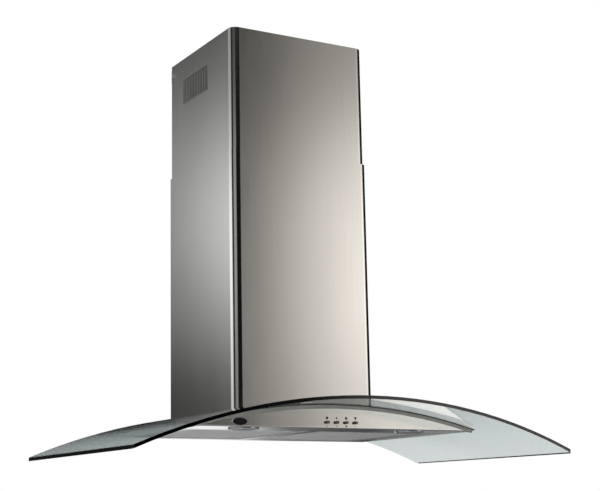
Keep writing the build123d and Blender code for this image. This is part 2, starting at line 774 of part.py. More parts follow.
def cover_plan(half_width, depth_rear, depth_front):
    """Folded sheet: a front, two sides and two flanges along the wall."""
    sheet = COVER_SHEET
    plan = cover_outline(half_width, depth_rear, depth_front, COVER_CORNER_RADIUS)
    plan -= cover_outline(
        half_width - sheet, depth_rear + sheet, depth_front - sheet, COVER_CORNER_RADIUS - sheet
    )
    mouth = half_width - COVER_FLANGE
    return plan - plan_rectangle(-mouth, mouth, depth_rear - sheet, depth_rear + 2 * sheet)


def make_lower_chimney():
    """Lower cover, cut along the arch of the glass that it stands on."""
    cover = from_above(cover_plan(lower_half, REAR_GAP, LOWER_DEPTH), 0, LOWER_TOP)
    glass_top = below_arch(glass_radius, LOWER_WIDTH, -BODY_HEIGHT)
    return cover - from_front(glass_top, -LOWER_DEPTH, 2 * LOWER_DEPTH)


def vent_window(side, border):
    """Block through the side of the upper cover where its vent is."""
    x = side * upper_half
    return block(
        x - 2 * COVER_SHEET - border,
        x + 2 * COVER_SHEET + border,
        VENT_DEPTH - VENT_LENGTH / 2 - border,
        VENT_DEPTH + VENT_LENGTH / 2 + border,
        VENT_HEIGHT - VENT_TALL / 2 - border,
        VENT_HEIGHT + VENT_TALL / 2 + border,
    )


def cover_screw(side, radius, x_from, x_to):
    """Round bar along X where a screw holds the upper cover."""
    low, high = sorted((side * x_from, side * x_to))
    return rod(radius, low, high, COVER_SCREW_DEPTH, BRACKET_HEIGHT)


def make_upper_chimney():
    """Upper cover, which slides in the lower one, with a vent in each side."""
    plan = cover_plan(upper_half, upper_rear, UPPER_DEPTH)
    cover = from_above(plan, UPPER_TOP - UPPER_LENGTH, UPPER_TOP)
    notch_bottom = BRACKET_HEIGHT - BRACKET_TALL / 2 - 2 * BRACKET_SHEET
    inner_half = upper_half - COVER_SHEET
    cover -= block(-inner_half, inner_half, 0, upper_rear + 2 * COVER_SHEET, notch_bottom, 2 * UPPER_TOP)
    for side in (-1, 1):
        cover -= vent_window(side, 0)
        cover -= cover_screw(side, COVER_SCREW_RADIUS, upper_half - 3 * COVER_SHEET, 2 * upper_half)
    return cover


def make_vent_grille(side):
    """Black insert behind each vent: a thin frame and upright bars."""
    face = upper_half
    inner = upper_half - COVER_SHEET
    back = inner - VENT_BAR_WIDTH
    low, high = sorted((side * face, side * back))
    tall = VENT_TALL / 2
    length = VENT_LENGTH / 2
    frame = block(
        low,
        high,
        VENT_DEPTH - length,
        VENT_DEPTH + length,
        VENT_HEIGHT - tall,
        VENT_HEIGHT + tall,
    )
    flange_low, flange_high = sorted((side * inner, side * back))
    frame += block(
        flange_low,
        flange_high,
        VENT_DEPTH - length - VENT_BORDER,
        VENT_DEPTH + length + VENT_BORDER,
        VENT_HEIGHT - tall - VENT_BORDER,
        VENT_HEIGHT + tall + VENT_BORDER,
    )
    pitch = (VENT_LENGTH - VENT_BAR_WIDTH) / (VENT_BARS + 1)
    slot = pitch - VENT_BAR_WIDTH
    for index in range(VENT_BARS + 1):
        start = VENT_DEPTH - length + VENT_BAR_WIDTH + index * pitch
        frame -= block(
            low - VENT_BORDER,
            high + VENT_BORDER,
            start,
            start + slot,
            VENT_HEIGHT - tall + VENT_BAR_WIDTH,
            VENT_HEIGHT + tall - VENT_BAR_WIDTH,
        )
    return frame


def make_chimney_bracket():
    """Wall bracket inside the top of the upper cover, with an ear on each side."""
    low = BRACKET_HEIGHT - BRACKET_TALL / 2
    high = BRACKET_HEIGHT + BRACKET_TALL / 2
    outer = upper_half - COVER_SHEET
    bracket = block(-outer, outer, 0, BRACKET_SHEET, low, high)
    for side in (-1, 1):
        ear_low, ear_high = sorted((side * outer, side * (outer - BRACKET_SHEET)))
        bracket += block(ear_low, ear_high, 0, BRACKET_EAR, low, high)
    for side in (-1, 1):
        bracket -= cover_screw(side, COVER_SCREW_RADIUS, outer - 3 * BRACKET_SHEET, outer + BRACKET_SHEET)
        hole = Pos(side * BRACKET_HOLE_SPACING / 2, 0, BRACKET_HEIGHT) * Rot(90, 0, 0)
        bracket -= hole * Cylinder(BRACKET_HOLE_RADIUS, 4 * BRACKET_SHEET)
    return bracket


def make_chimney_screws():
    """Screws through the sides of the upper cover into the ears."""
    pieces = []
    for side in (-1, 1):
        screw = cover_screw(side, COVER_SCREW_RADIUS, upper_half - SCREW_LENGTH, upper_half)
        head = cover_screw(side, SCREW_HEAD_RADIUS, upper_half, upper_half + SCREW_HEAD_HEIGHT)
        pieces.append(screw + head)
    return pieces


def make_chimney_guides():
    """Felt strips inside the top of the lower cover, which the upper one slides on."""
    high = LOWER_TOP - GUIDE_BELOW_TOP
    low = high - GUIDE_HEIGHT
    wall = lower_half - COVER_SHEET
    face = upper_half + GUIDE_CLEARANCE
    rear = LOWER_DEPTH / 4
    front = LOWER_DEPTH * 3 / 4
    across = LOWER_WIDTH / 3
    pieces = []
    for side in (-1, 1):
        x_low, x_high = sorted((side * wall, side * face))
        pieces.append(block(x_low, x_high, rear, front, low, high))
    front_strip = block(-across, across, UPPER_DEPTH + GUIDE_CLEARANCE, LOWER_DEPTH - COVER_SHEET, low, high)
    return pieces + [front_strip]


# ---------------------------------------------------------------- blower housing
def make_housing():
    """Sheet steel box on the deck of the body; its back carries the hood on the wall."""
    sheet = HOUSING_SHEET
    inner = housing_half - sheet
    housing = block(-housing_half, housing_half, 0, HOUSING_DEPTH, 0, housing_top)
    housing -= block(-inner, inner, sheet, HOUSING_DEPTH - sheet, -sheet, housing_roof)
    deck = from_front(below_arch(deck_radius, HOUSING_WIDTH, -BODY_HEIGHT), -sheet, 2 * HOUSING_DEPTH)
    housing -= deck
    flange = from_front(
        arch_band(deck_radius, deck_radius + sheet, housing_half), REAR_GAP, HOUSING_DEPTH
    )
    throat = housing_half - HOUSING_FLANGE
    flange -= block(
        -throat, throat, REAR_GAP + HOUSING_FLANGE, HOUSING_DEPTH - HOUSING_FLANGE, 0, 2 * BODY_HEIGHT
    )
    housing += flange
    housing -= post(outlet_inner_radius, 0, OUTLET_DEPTH, housing_roof - sheet, housing_top + sheet)
    for x in (-FIXING_SPACING_X / 2, FIXING_SPACING_X / 2):
        for z in (FIXING_HEIGHT - FIXING_SPACING_Z / 2, FIXING_HEIGHT + FIXING_SPACING_Z / 2):
            housing -= Pos(x, 0, z) * Rot(90, 0, 0) * Cylinder(FIXING_HOLE_RADIUS, 4 * sheet)
    return housing


def neck_span():
    """Depths of the inside of the scroll's neck: the tongue and the front wall."""
    half_step = SCROLL_STEP / 2
    front_arc = WHEEL_RADIUS + SCROLL_TONGUE_GAP + half_step + 2 * SCROLL_STEP
    return SCROLL_AXIS_DEPTH - half_step, SCROLL_AXIS_DEPTH + half_step + front_arc


def scroll_outline():
    """Inside of the scroll, seen from the side, in depth and z.

    Each quarter arc has its centre on a small square round the axis, so that the arcs
    meet smoothly: over the top to the wall side, down under the wheel, up at the front.
    """
    half_step = SCROLL_STEP / 2
    first = WHEEL_RADIUS + SCROLL_TONGUE_GAP + half_step
    second = first + SCROLL_STEP
    third = second + SCROLL_STEP
    axis_x = SCROLL_AXIS_DEPTH
    axis_z = SCROLL_AXIS_HEIGHT
    wall_side = CenterArc((axis_x - half_step, axis_z - half_step), first, 90, 90)
    under = CenterArc((axis_x + half_step, axis_z - half_step), second, 180, 90)
    front_side = CenterArc((axis_x + half_step, axis_z + half_step), third, 270, 90)
    rear, front = neck_span()
    tongue = axis_z - half_step + first
    neck = Polyline((front, axis_z + half_step), (front, neck_top), (rear, neck_top), (rear, tongue))
    return make_face((wall_side + under + front_side + neck).edges())


def make_scroll():
    """Spiral casing of the blower with a round inlet in each side."""
    sheet = SCROLL_SHEET
    inside = scroll_outline()
    scroll = from_side(offset(inside, sheet), -scroll_half, scroll_half)
    scroll -= from_side(inside, -scroll_half + sheet, scroll_half - sheet)
    rear, front = neck_span()
    scroll -= block(-scroll_half, scroll_half, rear - sheet, front + sheet, neck_top, neck_top + 2 * sheet)
    scroll -= rod(INLET_RADIUS, -SCROLL_WIDTH, SCROLL_WIDTH, SCROLL_AXIS_DEPTH, SCROLL_AXIS_HEIGHT)
    return scroll


def make_transition():
    """Duct piece that turns the square neck of the scroll into the round outlet."""
    rear, front = neck_span()
    sheet = SCROLL_SHEET

    def duct(grow):
        square = Plane.XY.offset(neck_top) * plan_rectangle(
            -scroll_half + sheet - grow, scroll_half - sheet + grow, rear - grow, front + grow
        )
        circle = Plane.XY.offset(housing_roof) * Pos(0, -OUTLET_DEPTH) * Circle(outlet_inner_radius + grow)
        return loft([square, circle])

    return duct(sheet) - duct(0)


def blade_face():
    """One forward-curved blade in the plane of the wheel."""
    middle_radius = (WHEEL_BLADE_INNER_RADIUS + WHEEL_RADIUS) / 2
    root = WHEEL_BLADE_INNER_RADIUS
    tip = WHEEL_RADIUS - WHEEL_RING_WIDTH / 4
    lean = math.radians(WHEEL_BLADE_LEAN)

    def polar(radius, angle, offset):
        turned = angle + offset / radius
        return (radius * math.cos(turned), radius * math.sin(turned))

    def side(offset):
        bend = lean * 0.3
        return ThreePointArc(
            polar(root, 0, offset), polar(middle_radius, bend, offset), polar(tip, lean, offset)
        )

    low = side(0)
    high = side(WHEEL_BLADE_THICKNESS)
    return make_face((low + Line(low @ 1, high @ 1) + high + Line(high @ 0, low @ 0)).edges())


def make_wheel():
    """Squirrel-cage wheel: curved blades between two rings, carried by a middle disc."""
    half = WHEEL_WIDTH / 2
    blades = Sketch(children=[turn * blade_face() for turn in PolarLocations(0, WHEEL_BLADES)])
    wheel = extrude(blades, amount=half, both=True)
    disc = Circle(WHEEL_RADIUS) - Circle(SHAFT_RADIUS)
    wheel += extrude(disc, amount=WHEEL_DISC / 2, both=True)
    ring = Circle(WHEEL_RADIUS) - Circle(WHEEL_RADIUS - WHEEL_RING_WIDTH)
    for start in (-half, half - WHEEL_RING_THICKNESS):
        wheel += Pos(0, 0, start) * extrude(ring, amount=WHEEL_RING_THICKNESS)
    hub = Circle(WHEEL_HUB_RADIUS) - Circle(SHAFT_RADIUS)
    wheel += extrude(hub, amount=WHEEL_HUB_LENGTH / 2, both=True)
    return Pos(0, -SCROLL_AXIS_DEPTH, SCROLL_AXIS_HEIGHT) * Rot(0, 90, 0) * wheel


def make_shaft():
    """Motor shaft, which carries the wheel."""
    return rod(
        SHAFT_RADIUS, -WHEEL_HUB_LENGTH, scroll_half - WHEEL_DISC, SCROLL_AXIS_DEPTH, SCROLL_AXIS_HEIGHT
    )


def make_motor():
    """Motor inside the wheel, with a ribbed can and a bore for the shaft."""
    start = MOTOR_GAP
    end = scroll_half
    motor = rod(MOTOR_RADIUS, start, end, SCROLL_AXIS_DEPTH, SCROLL_AXIS_HEIGHT)
    edge = motor.edges().filter_by(GeomType.CIRCLE).sort_by(Axis.X)[0]
    motor = fillet(edge, MOTOR_RADIUS / 8)
    motor -= rod(SHAFT_RADIUS + SHAFT_CLEARANCE, 0, 2 * end, SCROLL_AXIS_DEPTH, SCROLL_AXIS_HEIGHT)
    return motor


def make_motor_bracket():
    """Spider that holds the motor in the middle of the right-hand inlet."""
    ring = Circle(INLET_RADIUS + BRACKET_RING_WIDTH) - Circle(INLET_RADIUS)
    plate = Circle(MOTOR_RADIUS * 0.9) - Circle(3 * SHAFT_RADIUS)
    reach = INLET_RADIUS + BRACKET_RING_WIDTH / 2 - MOTOR_RADIUS / 2
    arm_middle = MOTOR_RADIUS / 2 + reach / 2
    for turn in PolarLocations(0, 3, start_angle=90):
        plate += turn * Pos(arm_middle, 0) * Rectangle(reach, BRACKET_ARM_WIDTH)
    plate -= Circle(3 * SHAFT_RADIUS)
    spider = extrude(ring + plate, amount=MOTOR_BRACKET_SHEET)
    return Pos(scroll_half, -SCROLL_AXIS_DEPTH, SCROLL_AXIS_HEIGHT) * Rot(0, 90, 0) * spider


# ---------------------------------------------------------------- outlet and damper
def make_collar():
    """Round spigot for the duct, with a seat for the flaps and holes for their axle."""
    flange = OUTLET_RADIUS + OUTLET_FLANGE
    seat_top = axle_z - FLAP_THICKNESS / 2 - FLAP_SEAT_GAP
    seat_inner = outlet_inner_radius - FLAP_SEAT_WIDTH
    top = housing_top + OUTLET_LENGTH
    profile = [
        (outlet_inner_radius, housing_top),
        (flange, housing_top),
        (flange, housing_top + OUTLET_SHEET),
        (OUTLET_RADIUS, housing_top + OUTLET_SHEET),
        (OUTLET_RADIUS, top),
        (outlet_inner_radius, top),
        (outlet_inner_radius, seat_top),
        (seat_inner, seat_top),
        (seat_inner, seat_top - OUTLET_SHEET),
        (outlet_inner_radius, seat_top - OUTLET_SHEET),
    ]
    outline = make_face(Plane.XZ * Polyline(*profile, close=True))
    collar = Pos(0, -OUTLET_DEPTH, 0) * revolve(outline, Axis.Z)
    return collar - rod(AXLE_RADIUS, -2 * OUTLET_RADIUS, 2 * OUTLET_RADIUS, OUTLET_DEPTH, axle_z)


def make_axle():
    """Rod across the collar, which both flaps turn on."""
    return rod(AXLE_RADIUS, -OUTLET_RADIUS, OUTLET_RADIUS, OUTLET_DEPTH, axle_z)


def make_flap(side, knuckles):
    """Half-round flap; side is -1 towards the wall and +1 towards the front."""
    radius = outlet_inner_radius - FLAP_GAP
    edge = KNUCKLE_RADIUS + 3 * KNUCKLE_CLEARANCE
    thick = FLAP_THICKNESS / 2
    flap = post(radius, 0, OUTLET_DEPTH, axle_z - thick, axle_z + thick)
    low, high = sorted((OUTLET_DEPTH - side * 2 * radius, OUTLET_DEPTH + side * edge))
    flap -= block(-2 * radius, 2 * radius, low, high, axle_z - thick, axle_z + thick)
    for x in knuckles:
        x_low = x - KNUCKLE_LENGTH / 2
        x_high = x + KNUCKLE_LENGTH / 2
        web_low, web_high = sorted((OUTLET_DEPTH, OUTLET_DEPTH + side * (edge + thick)))
        flap += rod(KNUCKLE_RADIUS, x_low, x_high, OUTLET_DEPTH, axle_z)
        flap += block(x_low, x_high, web_low, web_high, axle_z - thick, axle_z + thick)
    return flap - rod(
        AXLE_RADIUS + KNUCKLE_CLEARANCE, -OUTLET_RADIUS, OUTLET_RADIUS, OUTLET_DEPTH, axle_z
    )


# ---------------------------------------------------------------- electrical pieces
def make_terminal_box():
    """Moulded connection box on the front of the housing."""
    half = TERMINAL_WIDTH / 2
    low = TERMINAL_HEIGHT - TERMINAL_TALL / 2
    high = TERMINAL_HEIGHT + TERMINAL_TALL / 2
    box = block(-half, half, HOUSING_DEPTH, HOUSING_DEPTH + TERMINAL_DEPTH, low, high)
    front = box.faces().sort_by(Axis.Y)[0]
    return fillet(front.edges(), TERMINAL_DEPTH / 8)


def make_cable_gland():
    """Hexagonal gland on top of the connection box, for the supply cable."""
    base = TERMINAL_HEIGHT + TERMINAL_TALL / 2
    nut = extrude(RegularPolygon(GLAND_RADIUS, 6), amount=GLAND_LENGTH / 3)
    nut += Cylinder(GLAND_RADIUS * 0.8, GLAND_LENGTH, align=(Align.CENTER, Align.CENTER, Align.MIN))
    nut -= Cylinder(GLAND_BORE_RADIUS, 3 * GLAND_LENGTH)
    return Pos(-TERMINAL_WIDTH / 4, -HOUSING_DEPTH - TERMINAL_DEPTH / 2, base) * nut


def make_lamp_driver():
    """Low-voltage supply of the lamps."""
    half = DRIVER_WIDTH / 2
    low = DRIVER_HEIGHT - DRIVER_TALL / 2
    high = DRIVER_HEIGHT + DRIVER_TALL / 2
    driver = block(-half, half, HOUSING_DEPTH, HOUSING_DEPTH + DRIVER_DEPTH, low, high)
    return fillet(driver.faces().sort_by(Axis.Y)[0].edges(), DRIVER_DEPTH / 10)


def make_capacitor():
    """Motor capacitor, upright on a shallow clip."""
    low = CAPACITOR_HEIGHT - CAPACITOR_LENGTH / 2
    high = CAPACITOR_HEIGHT + CAPACITOR_LENGTH / 2
    centre = HOUSING_DEPTH + CAPACITOR_RADIUS + HOUSING_SHEET
    can = post(CAPACITOR_RADIUS, CAPACITOR_X, centre, low, high)
    top = can.edges().filter_by(GeomType.CIRCLE)
    can = fillet(top, CAPACITOR_RADIUS / 10)
    clip_low = CAPACITOR_HEIGHT - CAPACITOR_LENGTH / 5
    clip_high = CAPACITOR_HEIGHT + CAPACITOR_LENGTH / 5
    clip = block(
        CAPACITOR_X - CAPACITOR_RADIUS,
        CAPACITOR_X + CAPACITOR_RADIUS,
        HOUSING_DEPTH,
        centre,
        clip_low,
        clip_high,
    )
    return can + clip


# ---------------------------------------------------------------- export
def all_parts():
    """Every piece by name; a list is a group of separate solids."""
    third = outlet_inner_radius / 3
    parts = {
        "glass_canopy": make_glass(),
        "glass_seal": make_glass_seal(),
        "glass_grommets": make_glass_grommets(),
        "glass_screws": make_glass_screws(),
        "canopy_body": make_body(),
        "fascia_panel": make_fascia(),
        "trim_strip": make_trim(),
        "badge_plate": make_badge_plate(),
        "badge_rim": make_badge_rim(),
        "switch_block": make_switch_block(),
        "filter_catches": make_filter_catches(),
        "lower_chimney": make_lower_chimney(),
        "chimney_guides": make_chimney_guides(),
        "upper_chimney": make_upper_chimney(),
        "chimney_bracket": make_chimney_bracket(),
        "chimney_screws": make_chimney_screws(),
        "blower_housing": make_housing(),
        "blower_scroll": make_scroll(),
        "outlet_transition": make_transition(),
        "blower_wheel": make_wheel(),
        "motor_shaft": make_shaft(),
        "motor": make_motor(),
        "motor_bracket": make_motor_bracket(),
        "outlet_collar": make_collar(),
        "flap_axle": make_axle(),
        "flap_rear": make_flap(-1, (-2 * third, 0, 2 * third)),
        "flap_front": make_flap(1, (-third, third)),
        "terminal_box": make_terminal_box(),
        "cable_gland": make_cable_gland(),
        "lamp_driver": make_lamp_driver(),
        "motor_capacitor": make_capacitor(),
    }
    for index, x in enumerate(button_places(), start=1):
        parts[f"button_{index}"] = make_button(x)
    pairs = {
        "filter_frame": make_filter_frame,
        "filter_mesh": make_filter_mesh,
        "filter_handle": make_filter_handle,
        "lamp_bezel": make_lamp_bezel,
        "lamp_lens": make_lamp_lens,
        "lamp_can": make_lamp_can,
        "vent_grille": make_vent_grille,
    }
    for name, make in pairs.items():
        for side, piece in both_sides(make).items():
            parts[f"{name}_{side}"] = piece
    return parts


def main():
    os.makedirs("parts", exist_ok=True)
    for name, piece in all_parts().items():
        solids = piece if isinstance(piece, list) else piece.solids()
        solids = [solid for item in solids for solid in item.solids()]
        moved = [Pos(0, 0, -FIXING_HEIGHT) * solid for solid in solids]
        shape = moved[0] if len(moved) == 1 else Compound(children=moved)
        export_step(shape, f"parts/{name}.step")


main()
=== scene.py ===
"""Looks of a curved glass range hood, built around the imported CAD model.

Steel covers, glass canopy, rubber, filters, lamps and blower get their finishes here.
Printed signs round the buttons and a fine expanded sheet in each filter are added, and
the studio is built. Lengths are in metres, in the frame of the model: X right, Y into
the wall, Z up.
"""

import math

import bpy
import numpy as np
from mathutils import Matrix, Vector


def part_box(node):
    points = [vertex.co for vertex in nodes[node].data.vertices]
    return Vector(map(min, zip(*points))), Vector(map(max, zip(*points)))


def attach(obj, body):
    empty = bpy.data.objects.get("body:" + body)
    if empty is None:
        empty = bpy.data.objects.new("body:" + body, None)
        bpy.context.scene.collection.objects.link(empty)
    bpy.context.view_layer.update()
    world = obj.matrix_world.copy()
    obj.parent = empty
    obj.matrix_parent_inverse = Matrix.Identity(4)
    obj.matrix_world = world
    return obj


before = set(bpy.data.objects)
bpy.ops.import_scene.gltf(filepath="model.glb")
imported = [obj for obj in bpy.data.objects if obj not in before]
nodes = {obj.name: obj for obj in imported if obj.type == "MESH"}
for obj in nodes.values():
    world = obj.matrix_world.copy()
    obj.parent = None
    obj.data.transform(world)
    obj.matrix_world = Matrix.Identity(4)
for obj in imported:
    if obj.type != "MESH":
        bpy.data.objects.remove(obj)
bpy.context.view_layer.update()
scene = bpy.context.scene


# ---------------------------------------------------------------- node trees
def new_material(name):
    """Empty material with an output; returns the material and its node tree."""
    material = bpy.data.materials.new(name)
    material.use_nodes = True
    tree = material.node_tree
    tree.nodes.clear()
    return material, tree


def add(tree, kind, inputs=None, **settings):
    """New shader node with its settings; an input is a value or another node's socket."""
    node = tree.nodes.new("ShaderNode" + kind)
    for key, value in settings.items():
        setattr(node, key, value)
    for key, value in (inputs or {}).items():
        if isinstance(value, bpy.types.NodeSocket):
            tree.links.new(value, node.inputs[key])
        else:
            node.inputs[key].default_value = value
    return node


def pattern(tree, kind, stretch, **inputs):
    """Noise or Voronoi read from object coordinates in metres, stretched per axis."""
    place = add(tree, "TexCoord").outputs["Object"]
    mapped = add(tree, "Mapping", {"Vector": place, "Scale": stretch})
    return add(tree, kind, {"Vector": mapped.outputs["Vector"], **inputs})


def ramp(tree, value, low, high, start=0.0, end=1.0):
    """Number between low and high as value runs from start to end."""
    made = add(
        tree, "MapRange", {"Value": value, "From Min": start, "From Max": end, "To Min": low, "To Max": high}
    )
    return made.outputs["Result"]


def tint(tree, factor, first, second):
    """Colour between two colours."""
    mix = add(tree, "Mix", data_type="RGBA")
    tree.links.new(factor, mix.inputs[0])
    mix.inputs[6].default_value = (*first, 1.0)
    mix.inputs[7].default_value = (*second, 1.0)
    return mix.outputs[2]


def bump(tree, height, strength, distance):
    """Normal from a height."""
    made = add(tree, "Bump", {"Height": height, "Strength": strength, "Distance": distance})
    return made.outputs["Normal"]


def surface(tree, **inputs):
    """Principled shader joined to the output; an underscore stands for a blank."""
    named = {key.replace("_", " "): value for key, value in inputs.items()}
    shader = add(tree, "BsdfPrincipled", named)
    out = add(tree, "OutputMaterial", {"Surface": shader.outputs["BSDF"]})
    return shader, out


def scaled(colour, factor):
    return tuple(min(1.0, part * factor) for part in colour)


# ---------------------------------------------------------------- finishes
# Patterns per metre along each axis, the same in all directions or stretched.
EVEN = (1.0, 1.0, 1.0)
BRUSH_ALONG, BRUSH_ACROSS = 12.0, 2400.0
BAND_ALONG, BAND_ACROSS = 3.0, 260.0
WIPE_STRETCH = (7.0, 7.0, 3.0)
FIBRE_STRETCH = (1.0, 1.0, 2.5)
SMEAR_STRETCH = (5.0, 9.0, 9.0)
# Just behind the faces of the buttons. The faces are painted a lighter shade than their sides, a painted
# highlight of the light they catch.
BUTTON_LIT_FACE_Y = -0.4002


def brushed_steel(name, colour, along, roughness=0.16):
    """Sheet steel with fine brush lines along one axis and faint wipe marks."""
    material, tree = new_material(name)
    fine = tuple(BRUSH_ALONG if axis == along else BRUSH_ACROSS for axis in "XYZ")
    broad = tuple(BAND_ALONG if axis == along else BAND_ACROSS for axis in "XYZ")
    lines = pattern(tree, "TexNoise", fine, Scale=1.0, Detail=2.0, Roughness=0.6).outputs["Fac"]
    bands = pattern(tree, "TexNoise", broad, Scale=1.0, Detail=3.0, Roughness=0.5).outputs["Fac"]
    wipes = pattern(tree, "TexNoise", WIPE_STRETCH, Scale=1.0, Detail=4.0, Roughness=0.55).outputs["Fac"]
    both = add(tree, "Math", {0: lines, 1: bands}, operation="MULTIPLY").outputs[0]
    shade = tint(tree, ramp(tree, both, 0.0, 1.0, 0.15, 0.4), scaled(colour, 0.985), scaled(colour, 1.015))
    rough = add(
        tree,
        "Math",
        {
            0: ramp(tree, lines, roughness - 0.02, roughness + 0.02, 0.3, 0.7),
            1: ramp(tree, wipes, -0.01, 0.015, 0.35, 0.65),
        },
        operation="ADD",
    ).outputs[0]
    surface(
        tree, Base_Color=shade, Metallic=1.0, Roughness=rough, Normal=bump(tree, lines, 0.03, 0.0001)
    )
    return material


def plain_metal(name, colour, roughness, grain=900.0, depth=0.15, metallic=1.0):
    """Satin or polished metal with a fine random grain."""
    material, tree = new_material(name)
    noise = pattern(tree, "TexNoise", EVEN, Scale=grain, Detail=3.0).outputs["Fac"]
    cloud = pattern(tree, "TexNoise", EVEN, Scale=40.0, Detail=4.0).outputs["Fac"]
    shade = tint(tree, ramp(tree, cloud, 0.0, 1.0, 0.3, 0.7), scaled(colour, 0.93), scaled(colour, 1.04))
    rough = ramp(tree, noise, roughness * 0.8, roughness * 1.25, 0.3, 0.7)
    surface(
        tree, Base_Color=shade, Metallic=metallic, Roughness=rough, Normal=bump(tree, noise, depth, 0.0001)
    )
    return material


def zinc_sheet(name, colour):
    """Galvanised sheet with its crystal pattern."""
    material, tree = new_material(name)
    crystals = pattern(tree, "TexVoronoi", EVEN, Scale=95.0, Randomness=1.0)
    noise = pattern(tree, "TexNoise", EVEN, Scale=420.0, Detail=3.0).outputs["Fac"]
    grey = add(tree, "SeparateColor", {"Color": crystals.outputs["Color"]}).outputs["Red"]
    shade = tint(tree, grey, scaled(colour, 0.86), scaled(colour, 1.08))
    rough = add(
        tree, "Math", {0: ramp(tree, grey, 0.34, 0.48), 1: ramp(tree, noise, -0.04, 0.04)}, operation="ADD"
    ).outputs[0]
    surface(tree, Base_Color=shade, Metallic=1.0, Roughness=rough, Normal=bump(tree, noise, 0.1, 0.0002))
    return material


def moulded(name, colour, roughness, grain=1500.0, depth=0.2):
    """Moulded plastic or rubber with a fine texture and a little unevenness of colour."""
    material, tree = new_material(name)
    fine = pattern(tree, "TexNoise", EVEN, Scale=grain, Detail=2.0).outputs["Fac"]
    cloud = pattern(tree, "TexNoise", EVEN, Scale=30.0, Detail=3.0).outputs["Fac"]
    shade = tint(tree, ramp(tree, cloud, 0.0, 1.0, 0.3, 0.7), scaled(colour, 0.85), scaled(colour, 1.12))
    rough = ramp(tree, fine, roughness - 0.06, roughness + 0.06, 0.3, 0.7)
    surface(tree, Base_Color=shade, Roughness=rough, Normal=bump(tree, fine, depth, 0.00015))
    return material


def felt(name, colour):
    """Pressed fibre strip."""
    material, tree = new_material(name)
    fibres = pattern(tree, "TexNoise", FIBRE_STRETCH, Scale=1300.0, Detail=6.0, Roughness=0.8).outputs["Fac"]
    shade = tint(tree, fibres, scaled(colour, 0.6), scaled(colour, 1.5))
    surface(
        tree, Base_Color=shade, Roughness=0.95, Sheen_Weight=0.3, Normal=bump(tree, fibres, 0.8, 0.0004)
    )
    return material


def clear_glass(name):
    """Toughened glass: clear through its thickness, dark green along it."""
    material, tree = new_material(name)
    smear = pattern(tree, "TexNoise", SMEAR_STRETCH, Scale=1.0, Detail=2.0, Roughness=0.5).outputs["Fac"]
    _, out = surface(
        tree,
        Base_Color=(1.0, 1.0, 1.0, 1.0),
        Roughness=ramp(tree, smear, 0.0, 0.02, 0.5, 0.8),
        IOR=1.52,
        Transmission_Weight=1.0,
    )
    soak = add(tree, "VolumeAbsorption", {"Color": (0.05, 0.4, 0.36, 1.0), "Density": 24.0})
    tree.links.new(soak.outputs["Volume"], out.inputs["Volume"])
    return material


def frosted(name, colour):
    """Frosted lens of a lamp that is off."""
    material, tree = new_material(name)
    fine = pattern(tree, "TexNoise", EVEN, Scale=1800.0, Detail=2.0).outputs["Fac"]
    surface(
        tree,
        Base_Color=(*colour, 1.0),
        Roughness=ramp(tree, fine, 0.35, 0.55),
        IOR=1.46,
        Transmission_Weight=0.35,
        Normal=bump(tree, fine, 0.3, 0.0002),
    )
    return material


def plastic_with_painted_highlight(name, colour, painted_highlight_colour, lit_face_y, roughness):
    """Moulded plastic whose face, in front of a given depth along Y, is painted lighter than its sides: a
    painted highlight of the light the face catches.
    """
    material, tree = new_material(name)
    fine = pattern(tree, "TexNoise", EVEN, Scale=1500.0, Detail=2.0).outputs["Fac"]
    place = add(tree, "SeparateXYZ", {0: add(tree, "TexCoord").outputs["Object"]})
    front = add(tree, "Math", {0: place.outputs["Y"], 1: lit_face_y}, operation="LESS_THAN").outputs[0]
    # The lighter colour of the face is a painted highlight.
    surface(
        tree,
        Base_Color=tint(tree, front, colour, painted_highlight_colour),
        Roughness=ramp(tree, fine, roughness - 0.05, roughness + 0.05, 0.3, 0.7),
        Normal=bump(tree, fine, 0.15, 0.0001),
    )
    return material


